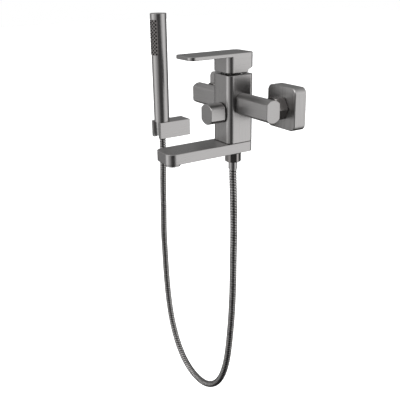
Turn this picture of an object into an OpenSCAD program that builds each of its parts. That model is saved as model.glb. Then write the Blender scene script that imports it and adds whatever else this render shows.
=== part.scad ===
// Wall-mounted single-lever bath and shower mixer tap with a hand shower.
// Millimetres. +X is to the right as seen from the front, +Y is into the wall, +Z is up.
// The origin lies on the wall face, midway between the two wall threads.

/* [Wall inlets] */
// Distance between the two inlets, centre to centre
inlet_spacing = 150; // [144:1:156]
// Distance from the wall face to the axis of the column
axis_from_wall = 48; // [46:1:60]
// Eccentric offset of a wall union: the tap's inlets lie this far above the wall threads
union_rise = 8; // [2:0.5:10]
// Radius of a half inch pipe thread
half_inch_r = 10.48; // [10.4:0.01:10.6]
// Radius of a three quarter inch pipe thread
three_quarter_r = 13.22; // [13.1:0.01:13.4]
// Length of the thread that goes into the wall
wall_thread_len = 16; // [12:1:25]
// Radius of the waterway through a wall union
union_bore_r = 7; // [5:0.5:8]
// Side of a square wall flange
flange_side = 60; // [52:0.5:70]
// Depth of a wall flange, front to back
flange_depth = 19.5; // [14:0.5:22]
// Radius of the corners of a wall flange
flange_corner_r = 9; // [3:0.5:12]
// Wall thickness of a flange
flange_wall = 1.5; // [1:0.1:2.5]
// Union nut, size across its flats
union_nut_flats = 30; // [30:0.5:34]

/* [Column] */
// Side of the square column
column_w = 44.5; // [42:0.5:50]
// Radius of the upright corners
corner_r = 8.5; // [4:0.5:12]
// Height of the column above the inlet axis
column_rise = 41.5; // [41.5:0.5:60]
// Depth of the column below the inlet axis
column_drop = 57.5; // [52:0.5:70]
// Radius of the inlet waterways in the column and the arms
inlet_bore_r = 5; // [3:0.5:5]

/* [Arms] */
// Distance from the column's axis to the end face of an arm
arm_reach = 94; // [92:0.5:110]
// Thickness of an arm, front to back
arm_depth = 22.5; // [21:0.5:26]
// Height of an arm
arm_height = 32; // [30:0.5:36]
// Radius of the arched top and bottom of an arm
arm_arch_r = 14; // [12:0.5:15]
// Shadow gap between an arm and the column
arm_seam = 0.4; // [0.2:0.1:1]

/* [Cartridge and lever] */
// Radius of the ceramic cartridge
cartridge_r = 17.5; // [16.5:0.1:17.5]
// Height of the cartridge seat above the inlet axis
seat_rise = 9; // [8:0.5:10]
// Gap between the column and the lever hub
hub_gap = 3.5; // [3.5:0.5:6]
// Height of the lever hub with its paddle
hub_height = 27.5; // [24:0.5:34]
// Thickness of the paddle
paddle_t = 5; // [3:0.5:6]
// Reach of the paddle from the column's axis
paddle_reach = 86; // [60:1:110]
// Radius of the paddle's front corners
paddle_corner_r = 8.5; // [4:0.5:15]
// Distance from the column's axis to the step cut under the back of the hub
hub_heel = 11; // [9:0.5:11]
// Height of the hub's back face above the hub's underside
hub_back_rise = 8; // [6:0.5:10]
// Fall of the sloping face between the back face and the step
hub_slope = 4.6; // [3:0.2:5]
// Side of the square lever stem
stem_side = 8; // [6:0.5:9]

/* [Diverter] */
// Depth of the diverter's axis below the inlet axis
diverter_drop = 13.5; // [13.5:0.5:16]
// Width of the knob
knob_w = 27; // [24:0.5:32]
// Height of the knob
knob_h = 30; // [26:0.5:34]
// Radius of the knob's arched top and bottom
knob_arch_r = 17; // [15.5:0.5:24]
// Length of the knob
knob_len = 24; // [20:0.5:30]
// Gap between the knob and the column
knob_gap = 1.5; // [1.2:0.1:3]

/* [Spout] */
// Thickness of the spout
spout_t = 15.4; // [14:0.1:20]
// Reach of the spout from the column's axis to its tip
spout_reach = 123.5; // [90:0.5:180]
// Radius of the spout's front corners
spout_tip_r = 12; // [5:0.5:20]
// Shadow gap between the column and the spout
spout_seam = 0.4; // [0.4:0.1:1]
// Distance from the spout's tip to the aerator's axis
aerator_inset = 17.5; // [15:0.5:30]
// Radius of the visible aerator rim
aerator_r = 11; // [10.5:0.5:12]
// Length of the aerator rim below the spout
aerator_proud = 6.5; // [1:0.5:8]

/* [Shower hose] */
// Outer radius of the ribbed hose
hose_r = 5.7; // [4.5:0.05:6.5]
// Radius of the hose's bore
hose_bore_r = 3; // [2:0.1:3.5]
// Depth of the groove between two ribs
rib_depth = 0.6; // [0.3:0.1:1]
// Number of ribs along the hose
rib_count = 196; // [20:1:200]
// Hose nut at the tap, size across its flats
hose_nut_flats = 22.6; // [22.4:0.1:24]
// Hose nut at the tap, radius of its turned corners
hose_nut_r = 12.2; // [12:0.1:13.5]
// Length of the hose nut at the tap
hose_nut_len = 14.5; // [14:0.5:20]
// Radius of the ferrules crimped on the hose
ferrule_r = 6.85; // [6.5:0.05:7]
// Length of the ferrule that shows below the hose nut
ferrule_len = 12; // [6:0.5:16]

/* [Hand shower] */
// Distance of the hand shower's axis to the left of the tap's middle
handset_left = 216; // [190:1:260]
// Distance of the hand shower's axis from the wall
handset_from_wall = 49.5; // [46:0.5:60]
// Radius of the hand shower at the bracket
handset_base_r = 13.4; // [12.8:0.1:15]
// Radius of the hand shower at its top
handset_top_r = 13.9; // [13.4:0.1:16]
// Length of the tube above the bracket
handset_len = 185; // [160:1:240]
// Distance from the top of the hand shower to the spray face
spray_top_inset = 10; // [9:0.5:20]
// Length of the spray face
spray_len = 59; // [40:1:80]
// Half of the angle that the spray face covers round the tube
spray_half_angle = 54; // [35:1:60]
// Rows of nozzles
nozzle_rows = 19; // [7:1:22]
// Nozzles in each second row
nozzle_columns = 4; // [2:1:5]
// Radius of a nozzle
nozzle_r = 1; // [0.5:0.1:1.1]
// Height of the nozzles above the hand shower's tube
nozzle_proud = 0.9; // [0.2:0.1:1.5]

/* [Wall bracket] */
// Width of the bracket
bracket_w = 31.5; // [28.5:0.5:36]
// Height of the bracket
bracket_h = 29; // [26:0.5:32]
// Length of the bracket from the wall to the ends of its fork
bracket_len = 62; // [61:0.5:70]
// Depth of the bracket's top below the wall threads
bracket_drop = 61; // [40:1:120]
// Half width of the slot that lets the hose out at the front
fork_half_gap = 8.3; // [6:0.1:9]
// Distance between the bracket's two wall screws
bracket_screw_spacing = 16; // [15.6:0.2:16.4]

/* [Fits] */
// Slack between fixed pieces that fit into each other
fit_gap = 0.1; // [0.05:0.01:0.15]
// Slack round shafts that turn
run_gap = 0.05; // [0.02:0.01:0.1]
// Space between the conical seat of the bracket and the hand shower's neck
seat_gap = 0.35; // [0.3:0.05:0.6]

/* [Hidden] */
$fn = 64;
eps = 0.01;
half_w = column_w / 2;

// Edges that are cut off at 45 degrees
edge_cut = 0.5;
flange_cut = 1;
bracket_corner_r = 1;

// Length by which a slice with cut edges runs into the plate that it closes
lap = 1;

// Finishes
gunmetal = [0.46, 0.45, 0.45];
dark_metal = [0.3, 0.3, 0.3];
brass = [0.72, 0.58, 0.32];
steel = [0.7, 0.7, 0.72];
black_rubber = [0.1, 0.1, 0.1];
white_plastic = [0.9, 0.9, 0.88];
ceramic = [0.85, 0.85, 0.9];

// Spigot of an arm in the side of the column
spigot_r = 8;
spigot_len = 5;

// Arm tail, union nut and wall union: distances in front of the wall face
arm_back = axis_from_wall - arm_depth / 2;
tail_r = 9.5;
tail_flange_r = 12;
tail_flange_t = 2.5;
union_end = arm_back - 11.25;
washer_t = 2;
tail_end = union_end + washer_t;
nut_back = flange_depth + 0.6;
nut_front = arm_back - 0.5;
nut_lip_back = tail_end + tail_flange_t + 0.1;
wall_hex_front = 11;
wall_hex_t = 8;

// Cartridge levels above the inlet axis
case_floor_t = 3;
case_shoulder = column_rise - 6.5;
case_top = column_rise - 1;
case_neck_r = 14;
case_bore_r = 13;
case_lip_r = 11.2;
case_lip_bottom = case_top - 3.5;
nut_thread_r = cartridge_r + 1;
disc_t = 3;
disc_gap = 0.1;
slide_disc_r = 8.2;
carrier_h = 9.9;
carrier_pocket_r = 4.1;
turret_bottom = column_rise - 11.5;
turret_top = column_rise + 0.5;
pivot_z = column_rise - 3.5;
pivot_y = 3;
slot_front = 7.4;
slot_back = 7.8;
slot_gap = 0.15;
pin_r = 1.5;
pin_half_len = 9.8;
plug_face_r = 3.4;
plug_face_t = 2;
finger_len = 12;
finger_r = 2.5;
ball_r = 3.5;
stem_boss_r = 4.5;
hub_bottom = column_rise + hub_gap;
hub_top = hub_bottom + hub_height;
stem_top = hub_top - 6.5;
hub_wall = 5;
pocket_web = 3;
pocket_roof = 3;
grub_z = hub_bottom + 15;
seat_floor = seat_rise + case_floor_t;
slide_disc_bottom = seat_floor + disc_t + disc_gap;
carrier_bottom = slide_disc_bottom + disc_t;
finger_bottom = pivot_z - finger_len;

// Waterways in the column, measured from its axis
port_x = 7.5;
port_y = 3;
port_r = 3;
mix_port_y = 11.5;
mix_port_r = 2.5;
spout_port_y = 6.6;
spout_port_r = 2;
seal_t = 1.2;

// Diverter: distances in front of the column's axis
rotor_r = 8 - fit_gap;
chamber_r = 8;
chamber_back = 8;
bonnet_r = 10;
bonnet_inner = half_w - 6.5;
bonnet_flange_t = 1.1;
spindle_r = 4;
spindle_front = half_w + knob_gap + knob_len - 6;
knob_back = half_w + knob_gap;

// Outlet under the column: heights above the inlet axis
stem_collar_r = 12;
spout_top = -column_drop - spout_seam;
spout_bottom = spout_top - spout_t;
stem_thread_top = -column_drop + 15.5;
outlet_chamber_top = stem_thread_top + 6;
transfer_r = 4;
transfer_top = outlet_chamber_top + 9;
stem_flange_top = spout_bottom - 0.2;
stem_flange_t = 2.5;
stem_flange_r = 14.5;
stem_bore_r = 7.5;
transfer_bottom = stem_flange_top - stem_flange_t + 1;
valve_r = 6.6;
valve_top = stem_flange_top - stem_flange_t - 1;
stem_end = valve_top - 10;
ring_chamber_r = 15;
channel_w = 22;
channel_h = 7;
o_ring_r = 0.95;
o_ring_offsets = [spout_t / 2 - 2.6, 2.6 - spout_t / 2];
spout_mid = (spout_top + spout_bottom) / 2;
aerator_y = spout_reach - aerator_inset;
aerator_thread_r = 11.5;
aerator_thread_len = 7;
aerator_body_len = aerator_thread_len - 1.3;
aerator_wall = 1.5;
aerator_lip = 1;
aerator_lip_t = 1.2;
rim_bottom = spout_bottom - aerator_proud;

// Hose nut at the tap
hose_nut_top = stem_flange_top - stem_flange_t - 0.6;
hose_nut_bottom = hose_nut_top - hose_nut_len;
hose_flange_t = 1.5;
hose_flange_r = half_inch_r - 0.3;
lip_t = 1.5;
ferrule_end = hose_nut_bottom - ferrule_len;
flange_top = hose_nut_bottom + lip_t + hose_flange_t;

// Hand shower: heights above its shoulder, which rests on the bracket
hose_end_gap = 0.3;
neck_collar_len = 12.8;
cone_nut_gap = 0.6;
cone_nut_len = 10.6;
cone_ferrule_len = 4;
neck_top_r = 11.75;
cone_taper = 0.034;
cone_thread_r = 10;
cone_nut_top = -neck_collar_len - cone_nut_gap;
cone_nut_bottom = cone_nut_top - cone_nut_len;
cone_flange_top = cone_nut_bottom + lip_t + hose_flange_t;
cone_washer_t = 1.5;
neck_end = cone_flange_top + cone_washer_t;
tube_bore_r = 11.5;
neck_plug_len = 12;
neck_bore_r = 5;
spray_top = handset_len - spray_top_inset;
spray_bottom = spray_top - spray_len;
plate_r = handset_base_r + (handset_top_r - handset_base_r) * spray_bottom / handset_len - 0.15;
mat_outer_r = tube_bore_r;
mat_inner_r = tube_bore_r - 0.7;
core_top = handset_len - 8;
core_bottom = spray_bottom - 4;
core_chamber_r = 7;
core_socket = 3;
cap_t = 5;
nozzle_margin = 2.2;
nozzle_side_margin = 13.5;
nozzle_tip_r = handset_top_r + nozzle_proud;

// Wall bracket
plate_w = 25;
plate_h = 20;
plate_t = 5.8;
stub_r = 4;
stub_len = 15;
screw_head_r = 3.5;
screw_head_t = 2.2;
screw_r = 1.9;
grub_r = 2.45;
bracket_mid = -bracket_drop - bracket_h / 2;
grub_from_wall = 10.5;

// Route of the hose from the tap's ferrule to the hand shower's, as X, Y, Z from the origin.
// Its two ends follow the ferrules and run straight for one diameter.
hose_start = [0, -axis_from_wall, union_rise + ferrule_end];
hose_finish = [-handset_left, -handset_from_wall,
    -bracket_drop - neck_collar_len - cone_nut_gap - cone_nut_len - cone_ferrule_len - hose_end_gap];
hose_points = [[2, -48, -150], [3, -48, -200], [2, -48, -250], [1, -48, -300], [-2, -48, -350],
    [-7, -48, -395], [-14, -48, -440], [-24, -48, -475], [-38, -48, -503], [-58, -48, -526],
    [-82, -49, -540], [-108, -49, -545], [-134, -49, -542], [-158, -49, -531], [-178, -49, -513],
    [-193, -49, -490], [-206, -49, -459], [-215, -49, -420], [-220, -49, -380], [-223, -49, -330],
    [-223, -50, -280], [-221, -50, -230], [-219, -50, -180], [-216, -50, -135]];
hose_route = concat([hose_start, hose_start - [0, 0, 2 * hose_r]], hose_points,
    [hose_finish - [0, 0, 2 * hose_r], hose_finish]);

// Places
module at_column() translate([0, -axis_from_wall, union_rise]) children();
module at_inlet(side) translate([side * inlet_spacing / 2, 0, union_rise]) children();
module at_handset() translate([-handset_left, -handset_from_wall, -bracket_drop]) children();
module at_bracket() translate([-handset_left, 0, bracket_mid]) children();

// Lies down a shape made along Z so that it runs from the wall side towards the front
module to_front() rotate([90, 0, 0]) children();
// Lies down a shape made along Z so that it runs to the right
module to_right() rotate([0, 90, 0]) children();

// Ring or tube between two heights
module ring(outer, inner, low, high) {
    translate([0, 0, low]) difference() {
        cylinder(h = high - low, r = outer);
        translate([0, 0, -1]) cylinder(h = high - low + 2, r = inner);
    }
}

// Upright plate with rounded corners, between a front and a back line, with its own corner radius at each
module plate(w, front, back, front_r, back_r, low, high) {
    translate([0, 0, low]) linear_extrude(high - low) {
        translate([-w / 2, front + front_r]) square([w, back - back_r - front - front_r]);
        for (end = [[front, front_r], [back - back_r, back_r]])
            translate([-w / 2 + end[1], end[0]]) square([w - 2 * end[1], end[1]]);
        for (side = [-1, 1], end = [[front + front_r, front_r], [back - back_r, back_r]])
            translate([side * (w / 2 - end[1]), end[0]]) circle(end[1]);
    }
}

// Round bar along Z, from a low to a high end, whose far edge is cut off at 45 degrees
module eased_post(r, low, high, cut) {
    rotate_extrude() polygon([[0, low], [r, low], [r, high - cut], [r - cut, high], [0, high]]);
}

// The slice of such a plate that narrows upwards at 45 degrees, and runs down into the plate
module bevel(w, front, back, front_r, back_r, cut) {
    middle = (front + back) / 2;
    translate([0, back - back_r, 0]) rotate([90, 0, 0]) linear_extrude(back - back_r - front - front_r)
        polygon([[-w / 2, -lap], [w / 2, -lap], [w / 2, 0], [w / 2 - cut, cut], [cut - w / 2, cut],
            [-w / 2, 0]]);
    for (end = [[front, front + cut, front_r], [back, back - cut, back_r]])
        translate([end[2] - w / 2, 0, 0]) rotate([90, 0, 90]) linear_extrude(w - 2 * end[2])
            polygon([[end[0], -lap], [middle, -lap], [middle, cut], [end[1], cut], [end[0], 0]]);
    for (side = [-1, 1], end = [[front + front_r, front_r], [back - back_r, back_r]])
        translate([side * (w / 2 - end[1]), end[0], 0]) eased_post(end[1], -lap, cut, cut);
}

// Such a plate with its lower and upper edges cut off at 45 degrees
module eased_plate(w, front, back, front_r, back_r, low, high, low_cut, high_cut) {
    plate(w, front, back, front_r, back_r, low + low_cut, high - high_cut);
    if (high_cut > 0) translate([0, 0, high - high_cut]) bevel(w, front, back, front_r, back_r, high_cut);
    if (low_cut > 0) translate([0, 0, low + low_cut]) mirror([0, 0, 1])
        bevel(w, front, back, front_r, back_r, low_cut);
}

// Hexagon with two corners on the X axis
module hexagon_prism(flats, low, high) {
    translate([0, 0, low]) cylinder(h = high - low, r = flats / sqrt(3), $fn = 6);
}

// Hexagon nut whose corners are turned down to a radius at both ends
module hexagon_nut(flats, corner, chamfer, low, high) {
    end_r = corner - chamfer * 1.5;
    intersection() {
        hexagon_prism(flats, low, high);
        rotate_extrude() polygon([[0, low], [end_r, low], [corner, low + chamfer], [corner, high - chamfer],
            [end_r, high], [0, high]]);
    }
}

// Bar with flat sides whose far edges are cut off at 45 degrees
module flat_sides(w, long, len, cut) {
    translate([0, long / 2, 0]) rotate([90, 0, 0]) linear_extrude(long)
        polygon([[-w / 2, 0], [w / 2, 0], [w / 2, len - cut], [w / 2 - cut, len], [cut - w / 2, len],
            [-w / 2, len - cut]]);
}

// Arm along Z: flat front and back, arched top and bottom, with the far edge cut off
module arm_bar(len, cut) {
    arch = arm_height / 2 - arm_arch_r;
    intersection() {
        rotate([0, 0, 90]) flat_sides(arm_depth, 2 * arm_height, len, cut);
        union() {
            for (side = [-1, 1]) translate([side * arch, 0, 0]) eased_post(arm_arch_r, 0, len, cut);
            translate([-arch, -arm_depth / 2, 0]) cube([2 * arch, arm_depth, len]);
        }
    }
}

// Knob along Z: flat sides, arched top and bottom, with the far edge cut off
module knob_bar(len, cut) {
    arch = knob_arch_r - knob_h / 2;
    intersection() {
        flat_sides(knob_w, 2 * knob_h, len, cut);
        translate([0, -arch, 0]) eased_post(knob_arch_r, 0, len, cut);
        translate([0, arch, 0]) eased_post(knob_arch_r, 0, len, cut);
    }
}

// Column with the cartridge chamber, the diverter chamber and the outlet
module column_body() {
    color(gunmetal) at_column() difference() {
        eased_plate(column_w, -half_w, half_w, corner_r, corner_r, -column_drop, column_rise,
            edge_cut, edge_cut);
        translate([0, 0, seat_rise]) cylinder(h = column_rise, r = cartridge_r + fit_gap);
        translate([0, 0, case_shoulder]) cylinder(h = column_rise, r = nut_thread_r + fit_gap);
        for (side = [-1, 1]) {
            translate([side * 4, 0, 0]) rotate([0, side * 90, 0]) cylinder(h = half_w, r = inlet_bore_r);
            translate([side * (half_w - spigot_len - 0.3), 0, 0]) rotate([0, side * 90, 0])
                cylinder(h = half_w, r = spigot_r + fit_gap);
            translate([side * port_x, port_y, 0]) cylinder(h = seat_rise + 1, r = port_r);
        }
        translate([0, -mix_port_y, -diverter_drop + 2])
            cylinder(h = seat_rise + diverter_drop, r = mix_port_r);
        translate([0, chamber_back, -diverter_drop]) to_front() cylinder(h = column_w, r = chamber_r);
        translate([0, -bonnet_inner, -diverter_drop]) to_front()
            cylinder(h = column_w, r = bonnet_r + fit_gap);
        translate([0, 0, -column_drop - 1])
            cylinder(h = outlet_chamber_top + column_drop + 1, r = half_inch_r + run_gap);
        translate([0, 0, outlet_chamber_top - 1])
            cylinder(h = transfer_top - outlet_chamber_top + 1.3, r = transfer_r + fit_gap);
        translate([0, 0, transfer_top - 1]) cylinder(h = -diverter_drop - transfer_top, r = transfer_r - 1);
        translate([0, -spout_port_y, outlet_chamber_top - 1])
            cylinder(h = -diverter_drop - outlet_chamber_top - 3, r = spout_port_r);
    }
}

// Arm with its waterway and the tail that its union nut holds
module arm(side) {
    color(gunmetal) at_column() difference() {
        union() {
            mirror([side < 0 ? 1 : 0, 0, 0]) translate([half_w + arm_seam, 0, 0]) to_right()
                arm_bar(arm_reach - half_w - arm_seam, edge_cut);
            translate([side * (half_w - spigot_len), 0, 0]) rotate([0, side * 90, 0])
                cylinder(h = spigot_len + arm_seam + 1, r = spigot_r);
            translate([side * inlet_spacing / 2, 0, 0]) rotate([-90, 0, 0])
                cylinder(h = axis_from_wall - tail_end, r = tail_r);
            translate([side * inlet_spacing / 2, axis_from_wall - tail_end - tail_flange_t, 0])
                rotate([-90, 0, 0]) cylinder(h = tail_flange_t, r = tail_flange_r);
        }
        translate([side * (half_w - spigot_len - 1), 0, 0]) rotate([0, side * 90, 0])
            cylinder(h = inlet_spacing / 2 - half_w + spigot_len + 1, r = inlet_bore_r);
        translate([side * inlet_spacing / 2, 0, 0]) rotate([-90, 0, 0])
            cylinder(h = axis_from_wall, r = union_bore_r);
    }
}

// O-rings in the two side bores of the column, round the ends of the spigots
module arm_seals() {
    color(black_rubber) at_column() for (side = [-1, 1])
        translate([side * (half_w - spigot_len - 0.3), 0, 0]) rotate([0, side * 90, 0])
            ring(spigot_r - 0.5, inlet_bore_r + 0.5, 0, 0.3);
}

module union_nut(side) {
    color(gunmetal) at_inlet(side) to_front() difference() {
        hexagon_nut(union_nut_flats, union_nut_flats / sqrt(3), 1.2, nut_back, nut_front);
        translate([0, 0, nut_back - 1])
            cylinder(h = nut_lip_back - nut_back + 1, r = three_quarter_r + fit_gap);
        translate([0, 0, nut_back]) cylinder(h = nut_front, r = tail_r + fit_gap);
    }
}

module filter_washers() {
    color(black_rubber) for (side = [-1, 1]) at_inlet(side) to_front()
        ring(tail_flange_r, union_bore_r - 2, union_end, tail_end);
}

// Eccentric wall union: the thread in the wall lies lower than the thread for the nut
module wall_union(side) {
    color(brass) at_inlet(side) difference() {
        union() {
            to_front() translate([0, 0, wall_hex_front])
                cylinder(h = union_end - wall_hex_front, r = three_quarter_r);
            translate([0, 0, -union_rise / 2]) to_front()
                hexagon_prism(2 * three_quarter_r + 3.5, wall_hex_front - wall_hex_t, wall_hex_front);
            translate([0, 0, -union_rise]) to_front() translate([0, 0, -wall_thread_len])
                cylinder(h = wall_hex_front - wall_hex_t + wall_thread_len + 1, r = half_inch_r);
        }
        to_front() translate([0, 0, wall_hex_front - wall_hex_t / 2])
            cylinder(h = union_end, r = union_bore_r);
        translate([0, 0, -union_rise]) to_front() translate([0, 0, -wall_thread_len - 1])
            cylinder(h = wall_thread_len + wall_hex_front, r = union_bore_r);
    }
}

module escutcheon(side) {
    color(gunmetal) at_inlet(side) to_front() difference() {
        eased_plate(flange_side, -flange_side / 2, flange_side / 2, flange_corner_r, flange_corner_r,
            0, flange_depth, 0, flange_cut);
        plate(flange_side - 2 * flange_wall, flange_wall - flange_side / 2, flange_side / 2 - flange_wall,
            flange_corner_r - flange_wall, flange_corner_r - flange_wall, -1, flange_depth - flange_wall);
        translate([0, 0, -1]) cylinder(h = flange_depth + 2, r = three_quarter_r + fit_gap);
    }
}

// Plastic cup that holds the ceramic discs
module cartridge_case() {
    color(white_plastic) at_column() difference() {
        union() {
            translate([0, 0, seat_rise]) cylinder(h = case_shoulder - seat_rise, r = cartridge_r);
            translate([0, 0, seat_rise]) cylinder(h = case_top - seat_rise, r = case_neck_r);
        }
        translate([0, 0, seat_floor]) cylinder(h = case_lip_bottom - seat_floor, r = case_bore_r);
        translate([0, 0, seat_floor]) cylinder(h = column_rise, r = case_lip_r);
        for (side = [-1, 1]) {
            translate([side * port_x, port_y, 0]) cylinder(h = seat_floor + 1, r = port_r);
            translate([side * port_x, port_y, 0]) cylinder(h = seat_rise + seal_t, r = port_r + 1.5);
        }
        translate([0, -mix_port_y + 1.5, 0]) cylinder(h = seat_floor + 1, r = mix_port_r);
    }
}

module cartridge_seals() {
    color(black_rubber) at_column() for (side = [-1, 1]) translate([side * port_x, port_y, 0])
        ring(port_r + 1.5 - fit_gap, port_r, seat_rise, seat_rise + seal_t);
}

module fixed_disc() {
    color(ceramic) at_column() difference() {
        translate([0, 0, seat_floor]) cylinder(h = disc_t, r = case_bore_r - fit_gap);
        for (side = [-1, 1]) translate([side * port_x / 1.5, port_y, seat_floor - 1])
            cylinder(h = disc_t + 2, r = 2.5);
        translate([0, -mix_port_y + 4, seat_floor - 1]) cylinder(h = disc_t + 2, r = mix_port_r);
    }
}

module sliding_disc() {
    color(ceramic) at_column() difference() {
        translate([0, 0, slide_disc_bottom]) cylinder(h = disc_t, r = slide_disc_r);
        translate([0, 0, slide_disc_bottom - 1]) cylinder(h = disc_t, r = 4);
    }
}

module disc_carrier() {
    color(white_plastic) at_column() difference() {
        translate([0, 0, carrier_bottom]) cylinder(h = carrier_h, r = slide_disc_r);
        translate([0, 0, carrier_bottom + 3]) cylinder(h = carrier_h, r = carrier_pocket_r);
    }
}

// Turret that turns with the lever and carries its pivot pin
module cartridge_turret() {
    color(dark_metal) at_column() difference() {
        union() {
            translate([0, 0, turret_bottom])
                cylinder(h = case_lip_bottom - 0.2 - turret_bottom, r = case_bore_r - fit_gap);
            translate([0, 0, turret_bottom])
                cylinder(h = turret_top - turret_bottom, r = case_lip_r - 2 * fit_gap);
        }
        translate([-stem_side / 2 - slot_gap, -slot_front, turret_bottom - 1])
            cube([stem_side + 2 * slot_gap, slot_front + slot_back, 20]);
        translate([-column_w, pivot_y, pivot_z]) to_right() cylinder(h = 2 * column_w, r = pin_r);
    }
}

module pivot_pin() {
    color(steel) at_column() translate([-pin_half_len, pivot_y, pivot_z]) to_right()
        cylinder(h = 2 * pin_half_len, r = pin_r);
}

// Stem: square above, a boss round the pin and a finger that moves the disc carrier
module lever_stem() {
    color(brass) at_column() difference() {
        union() {
            translate([-stem_side / 2, -stem_side / 2, pivot_z])
                cube([stem_side, stem_side, stem_top - pivot_z]);
            translate([-stem_side / 2, pivot_y, pivot_z]) to_right() cylinder(h = stem_side, r = stem_boss_r);
            translate([0, 0, finger_bottom]) cylinder(h = finger_len, r = finger_r);
            translate([0, 0, finger_bottom]) sphere(ball_r);
        }
        translate([-stem_side, pivot_y, pivot_z]) to_right() cylinder(h = 2 * stem_side, r = pin_r + run_gap);
    }
}

module cartridge_nut() {
    color(brass) at_column() ring(nut_thread_r, case_neck_r + fit_gap, case_shoulder, case_top);
}

// Section through the hub and its paddle, seen from the right: first number towards the wall
module lever_outline() {
    polygon([[-half_w, hub_bottom], [hub_heel, hub_bottom],
        [hub_heel, hub_bottom + hub_back_rise - hub_slope], [half_w, hub_bottom + hub_back_rise],
        [half_w, hub_top], [-half_w, hub_top]]);
}

module lever_handle() {
    color(gunmetal) at_column() difference() {
        union() {
            intersection() {
                eased_plate(column_w, -half_w, half_w, corner_r, corner_r, hub_bottom, hub_top - edge_cut,
                    edge_cut, 0);
                translate([-column_w, 0, 0]) rotate([90, 0, 90]) linear_extrude(2 * column_w) lever_outline();
            }
            eased_plate(column_w, -paddle_reach, half_w, paddle_corner_r, corner_r, hub_top - paddle_t,
                hub_top, edge_cut, edge_cut);
        }
        translate([-stem_side / 2 - fit_gap / 2, -stem_side / 2 - fit_gap / 2, 0])
            cube([stem_side + fit_gap, stem_side + fit_gap, stem_top + fit_gap]);
        translate([hub_wall - half_w, hub_wall - half_w, 0])
            cube([column_w - 2 * hub_wall, half_w - hub_wall - stem_side / 2 - pocket_web,
                hub_top - paddle_t - pocket_roof]);
        translate([0, 0, grub_z]) rotate([-90, 0, 0]) cylinder(h = column_w, r = grub_r + run_gap);
        translate([0, half_w - plug_face_t, grub_z]) rotate([-90, 0, 0])
            cylinder(h = 5, r = plug_face_r + fit_gap);
    }
}

module lever_grub_screw() {
    color(dark_metal) at_column() translate([0, stem_side / 2 + fit_gap, grub_z]) rotate([-90, 0, 0])
        grub_screw(9);
}

// Headless screw with a hexagon socket in its far end
module grub_screw(len) {
    difference() {
        cylinder(h = len, r = grub_r);
        translate([0, 0, len - 2.5]) cylinder(h = 3, r = 1.45, $fn = 6);
    }
}

module lever_plug() {
    color(gunmetal) at_column() translate([0, half_w - plug_face_t, grub_z]) rotate([-90, 0, 0])
        cylinder(h = plug_face_t - fit_gap, r = plug_face_r);
}

module diverter_bonnet() {
    color(gunmetal) at_column() translate([0, 0, -diverter_drop]) to_front() difference() {
        union() {
            translate([0, 0, bonnet_inner]) cylinder(h = half_w - bonnet_inner + bonnet_flange_t, r = bonnet_r);
            translate([0, 0, half_w]) cylinder(h = bonnet_flange_t, r = bonnet_r + 1.5);
        }
        cylinder(h = column_w, r = spindle_r + run_gap);
        translate([0, 0, bonnet_inner - 1]) cylinder(h = 3, r = spindle_r + 2);
    }
}

module bonnet_seal() {
    color(black_rubber) at_column() translate([0, 0, -diverter_drop]) to_front()
        ring(spindle_r + 1.9, spindle_r + 0.1, bonnet_inner + 0.4, bonnet_inner + 1.9);
}

module diverter_spindle() {
    color(brass) at_column() translate([0, 0, -diverter_drop]) to_front() difference() {
        translate([0, 0, bonnet_inner - 0.2]) cylinder(h = spindle_front - bonnet_inner + 0.2, r = spindle_r);
        translate([0, 0, spindle_front - 3]) cylinder(h = 4, r = 1.6);
    }
}

// Rotor: a groove takes the mixed water in, one hole leads to the spout, the other to the hose
module diverter_rotor() {
    groove_back = mix_port_y - mix_port_r;
    color(brass) at_column() translate([0, 0, -diverter_drop]) to_front() difference() {
        translate([0, 0, 0.5 - chamber_back]) cylinder(h = bonnet_inner + chamber_back - 0.7, r = rotor_r);
        ring(rotor_r + 1, rotor_r - 2.5, groove_back, bonnet_inner - 0.5);
        translate([0, 0, -chamber_back]) cylinder(h = chamber_back + bonnet_inner - 1.7, r = 3);
        translate([0, 0, mix_port_y]) rotate([90, 0, 0]) cylinder(h = rotor_r, r = 2);
        translate([0, 0, spout_port_y]) rotate([90, 0, 0]) cylinder(h = rotor_r + 1, r = spout_port_r);
        rotate([0, 90, 0]) cylinder(h = rotor_r + 1, r = transfer_r - 1.5);
    }
}

module diverter_knob() {
    color(gunmetal) at_column() translate([0, 0, -diverter_drop]) to_front() difference() {
        translate([0, 0, knob_back]) knob_bar(knob_len, edge_cut);
        cylinder(h = spindle_front + 0.2, r = spindle_r + run_gap);
        translate([0, 0, knob_back - 1]) cylinder(h = 3, r = bonnet_r + 2);
        translate([0, 0, knob_back + 9]) rotate([90, 0, 0]) cylinder(h = knob_h, r = grub_r + run_gap);
    }
}

module knob_grub_screw() {
    color(dark_metal) at_column() translate([0, -knob_back - 9, -diverter_drop - spindle_r - fit_gap])
        rotate([180, 0, 0]) grub_screw(8);
}

module spout() {
    color(gunmetal) at_column() difference() {
        eased_plate(column_w, -spout_reach, half_w, spout_tip_r, corner_r, spout_bottom, spout_top,
            edge_cut, edge_cut);
        translate([0, 0, spout_bottom - 1]) cylinder(h = spout_t + 2, r = stem_collar_r + run_gap);
        translate([0, 0, spout_mid - channel_h / 2]) cylinder(h = channel_h, r = ring_chamber_r);
        translate([-channel_w / 2, -aerator_y, spout_mid - channel_h / 2])
            cube([channel_w, aerator_y, channel_h]);
        translate([0, -aerator_y, spout_bottom - 1])
            cylinder(h = aerator_thread_len + 1, r = aerator_thread_r + fit_gap);
        translate([0, -aerator_y, spout_mid - channel_h / 2]) cylinder(h = channel_h, r = channel_w / 2);
    }
}

module spout_glide_ring() {
    color(white_plastic) at_column()
        ring(stem_collar_r + 4, stem_collar_r + fit_gap, spout_top + 0.1, -column_drop);
}

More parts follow.
